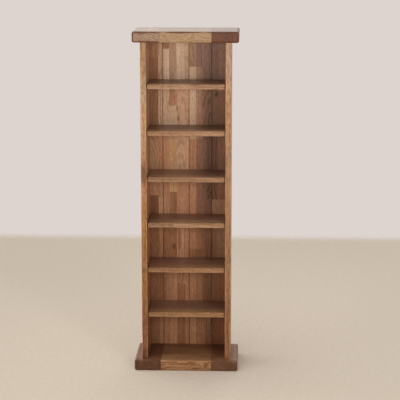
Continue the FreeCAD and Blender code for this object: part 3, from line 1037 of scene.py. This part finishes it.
# %% Shelves
SHELF_COUNT = 6
SHELF_ROUND, SHELF_WANDER, WANDER_WAVE = 1.7, 0.5, 23.0
SHELF_END_BEVEL = 0.8
SHELF_STATIONS = 34
SWAY, LONG_SWAY, SHORT_SWAY = 0.15, 47.0, 17.0


def shelf_board(number):
    """One shelf: a rounded rectangle carried along X with a gently waved front.

    The front is two waves of x, one half as high as the other. They are lifted
    by their greatest height, 1.5, so that the front stays inside the frame's.
    """
    node = "shelf_" + str(number)
    low, high = (np.array(end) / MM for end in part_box(node))
    inner = np.linspace(low[0] + SHELF_END_BEVEL, high[0] - SHELF_END_BEVEL, SHELF_STATIONS)
    x = np.concatenate([[low[0]], inner, [high[0]]])
    inset = np.where((x == low[0]) | (x == high[0]), SHELF_END_BEVEL, 0.0)
    wave = np.sin(x / LONG_SWAY + 2.1 * number) + 0.5 * np.sin(x / SHORT_SWAY + 1.3 * number)
    front = low[1] + SWAY * (1.5 + wave)
    radii = [SHELF_ROUND + SHELF_WANDER * np.sin(x / WANDER_WAVE + number + 1.9 * each) - inset
             for each in range(4)]
    outline = rounded_outline(front + inset, high[1] - inset, low[2] + inset, high[2] - inset, radii)
    shelf = grid_object("worn_" + node, carried_along(x, outline), closed=True, capped=True)
    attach(shelf, node)
    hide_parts(node)
    return shelf


shelves = [shelf_board(number) for number in range(1, SHELF_COUNT + 1)]
for shelf in shelves:
    print(shelf.name, "litres:", round(finish_mesh(shelf, SHARP_ANGLE) * LITRES, 3))

# %% [markdown]
# Each shelf is glued from staves that run along it. The front stave is what
# shows, and on some shelves it is joined part way along. The staves behind are
# darker, partly in their own tone and partly as painted shade, where the shelf
# above shades each shelf's top. One tone for the whole shelf would be simpler,
# but the pale front would then be lost.

# %% Shelf finishes
# The darker staves behind the front carry painted shade as well as their own tone.
SHELF_STAVES = [
    [(-70, [(-130, "bisque"), (10, "biscuit")]), (-20, [(-130, "peat"), (20, "pewter")]),
     (40, [(-130, "peat")])],
    [(-70, [(-130, "biscuit")]), (-24, [(-130, "peat"), (-30, "peat")]), (31, [(-130, "peat")])],
    [(-70, [(-130, "sand"), (-10, "sand")]), (-15, [(-130, "pewter")]), (36, [(-130, "smoke")])],
    [(-70, [(-130, "sand"), (-40, "biscuit")]), (-22, [(-130, "pewter"), (50, "smoke")]),
     (29, [(-130, "dusk")])],
    [(-70, [(-130, "barley")]), (-18, [(-130, "smoke")]), (38, [(-130, "pewter"), (-20, "smoke")])],
    [(-70, [(-130, "ochre"), (10, "ochre")]), (-25, [(-130, "pewter")]), (33, [(-130, "smoke")])],
]
for number, (shelf, columns) in enumerate(zip(shelves, SHELF_STAVES), 1):
    node = "shelf_" + str(number)
    dress(shelf, oak_finish("oak_" + node, node, "XY", columns=columns, gloss=(0.5, 0.3)))
    print(shelf.name, "columns of staves:", len(columns))

# %% [markdown]
# The sides are boards with their fibres upright, glued from four staves that
# run the full length. They keep the frame's own mesh, with its rows of pin
# holes. The front stave of each side drifts from dark at the foot to pale
# towards the top, and the left one has a soft dark knot more than half way up.
# Only the long edges are worn, so the box for the wear is longer than the side.

# %% Side finishes
SIDE_STAVES = {
    "left_side": [
        (-74, [(65, "sienna"), (290, "russet"), (478, "gold"), (640, "amber"), (743, "fair"), (866, "honey"),
               (878, "flax"), (930, "flax"), (1000, "fair")]),
        (-34, [(160, "chestnut"), (505, "tan"), (890, "mist")]),
        (14, [(160, "rose"), (680, "rose"), (970, "straw")]),
        (58, [(200, "chestnut"), (575, "tan"), (930, "mist")]),
    ],
    "right_side": [
        (-74, [(156, "umber"), (348, "caramel"), (517, "barley"), (650, "sand"), (720, "oat"), (830, "tan"),
               (1000, "ecru")]),
        (-30, [(230, "rose"), (615, "tan"), (940, "rose")]),
        (18, [(300, "chestnut"), (810, "rose")]),
        (62, [(140, "tan"), (475, "rose"), (880, "chestnut")]),
    ],
}
SIDE_KNOTS = {
    "left_side": [knot_at(-134.5, -73.5, 645.0, (30.0, 30.0, 58.0), 0.66),
                  knot_at(-134.5, -73.5, 330.0, (16.0, 16.0, 14.0), 0.45),
                  # The third darkens the foot of the front edge, where the side meets the base.
                  knot_at(-134.5, -73.5, 35.0, (40.0, 40.0, 60.0), 0.45)],
    "right_side": [knot_at(134.5, -73.5, 696.0, (20.0, 20.0, 20.0), 0.12)],
}
# tone, reach, least and seed of the edges
SIDE_RUB = ("amber", 0.002, 0.12, 0.3)


def long_box(node):
    """A side's box, longer at both ends, so that only its long edges are worn."""
    low, high = (end.copy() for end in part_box(node))
    low.z -= BELOW
    high.z += BELOW
    return low, high


for node, columns in SIDE_STAVES.items():
    finish = oak_finish("oak_" + node, node, "ZY", columns=columns, drift=True, knots=SIDE_KNOTS[node],
                        edges=(long_box(node), *SIDE_RUB), contrast=BOLD_GRAIN)
    dress(bpy.data.objects[node], finish)
    print(node, "columns of staves:", len(columns))

# %% [markdown]
# The back is four tongued boards with a V along each joint, and each board is
# glued from narrow staves of very different tones: that patchwork is what the
# eye sees first in every bay. A picture could be laid over the back, but a list
# of staves is easier to read and change. The joints were read off from each bay
# in turn. The tones were chosen in the same way, and then corrected by
# comparing the mean colour of each part of a bay in a render and in the
# picture. Stain has gathered in the V joints and darkens them.

# %% Back finishes
BACK_STAVES = {
    "back_board_1": [
        (-135, [(23, "chestnut"), (53, "fawn"), (150, "chestnut"), (380, "chestnut"), (483, "hazel"),
                (543, "blush"), (640, "tan"), (760, "clay"), (905, "clay"), (1000, "rose")]),
        (-98, [(23, "rose"), (150, "chestnut"), (310, "rose"), (470, "peach"), (540, "tan"), (620, "blush"),
               (770, "shell"), (920, "shell")]),
    ],
    "back_board_2": [
        (-84, [(23, "rose"), (150, "rose"), (300, "chestnut"), (460, "tan"), (535, "blush"), (610, "blush"),
               (770, "chalk"), (905, "cream"), (1030, "rose")]),
        (-62, [(23, "blush"), (310, "chestnut"), (470, "clay"), (557, "honey"), (760, "straw"),
               (842, "blush"), (920, "ecru")]),
        (-38, [(23, "chestnut"), (150, "chestnut"), (242, "rose"), (310, "melon"), (535, "blush"),
               (620, "almond", 8), (770, "almond", 14), (920, "cream")]),
        (-10, [(23, "rose"), (150, "blush"), (310, "blush"), (470, "blush"), (620, "peach"), (760, "almond"),
               (905, "chalk")]),
    ],
    # High in the right third, the cooler, greyer tones are partly painted: the cool light in the right side's
    # shade, over the staves' own tone.
    "back_board_3": [
        (2, [(23, "blush"), (150, "rose"), (310, "chestnut"), (363, "rose"), (470, "blush"), (731, "straw"),
             (973, "mist")]),
        (26, [(23, "fawn"), (310, "hazel"), (363, "chestnut"), (470, "dusk"), (731, "musk"), (890, "mist"),
              (973, "slate")]),
        (46, [(23, "rose"), (150, "clay"), (470, "mauve"), (530, "dusk"), (620, "plum"), (760, "dove"),
              (905, "heather")]),
    ],
    # Its cooler, greyer upper tones are partly painted, as on the board before.
    "back_board_4": [
        (77, [(23, "chestnut"), (150, "fawn"), (310, "rose"), (470, "peach"), (530, "dusk"), (620, "plum"),
              (760, "dove"), (920, "heather")]),
        (97, [(23, "ginger"), (150, "copper"), (320, "tan"), (470, "peach"), (530, "mallow"),
              (760, "mallow"), (890, "petal")]),
    ],
}
BACK_JOINTS = ((-83.5, 0.32), (2.5, 0.30), (77.5, 0.08))
BACK_KNOTS = {
    "back_board_2": [knot_at(-48.0, 88.5, 373.0, (10.0, 10.0, 15.0), 0.7),
                     knot_at(-31.0, 88.5, 396.0, (9.0, 9.0, 62.0), 0.45),
                     knot_at(-53.0, 88.5, 905.0, (10.0, 10.0, 66.0), 0.30),
                     knot_at(-36.0, 88.5, 836.0, (4.0, 9.0, 16.0), 0.75),
                     knot_at(-32.0, 88.5, 804.0, (4.0, 9.0, 20.0), 0.65)],
    "back_board_4": [knot_at(93.0, 88.5, 882.0, (8.0, 8.0, 12.0), 0.7)],
}
for node, columns in BACK_STAVES.items():
    finish = oak_finish("oak_" + node, node, "ZX", columns=columns, knots=BACK_KNOTS.get(node, ()),
                        joints=BACK_JOINTS, rings=(0.0055, 0.26), waviness=0.035, contrast=0.8,
                        gloss=(0.05, 0.3))
    dress(bpy.data.objects[node], finish)
    print(node, "columns of staves:", len(columns))

# %% [markdown]
# The shelf pins are small brass pegs and the screws are bright steel. One plain
# metal would do at this size, but a close view shows it as plastic, so the
# finish has soft patches of tarnish and fine scratches. The dowels are hidden,
# and are pale beech.

# %% Metal and beech finishes
DULLER, BRIGHTER = 0.12, 0.10
SCRATCH_BUMP = {"strength": 0.2, "distance": 0.0001}


def metal_finish(name, colour, tarnish, rough):
    """Brushed metal: tarnish in soft patches, and scratches in the roughness."""
    material, tree, shader = new_material(name)
    place = own_place(tree)
    patch = spread(tree, noise(tree, place, scale=220.0, detail=3.0), low=0.40, high=0.75)
    scratch = noise(tree, place, scale=1800.0, detail=2.0)
    dull = spread(tree, scratch, 0.2, 0.8, rough - BRIGHTER, rough + DULLER)
    tree.links.new(blend(tree, patch, colour, tarnish), shader.inputs["Base Color"])
    tree.links.new(dull, shader.inputs["Roughness"])
    bumped(tree, shader, scratch, **SCRATCH_BUMP)
    shader.inputs["Metallic"].default_value = 1.0
    return material


brass = metal_finish("pin_brass", linear(205, 170, 105), linear(150, 112, 62), 0.30)
steel = metal_finish("screw_steel", linear(190, 188, 184), linear(130, 124, 116), 0.32)
beech = oak_finish("beech_dowel", "top_side_dowels", "ZX", "beech")
for number in range(1, SHELF_COUNT + 1):
    dress(bpy.data.objects["shelf_" + str(number) + "_pins"], brass)
for node in ("base_screws", "back_screws"):
    dress(bpy.data.objects[node], steel)
for node in ("base_side_dowels", "top_side_dowels", "base_block_dowels", "top_block_dowels"):
    dress(bpy.data.objects[node], beech)
print("materials:", len(bpy.data.materials))
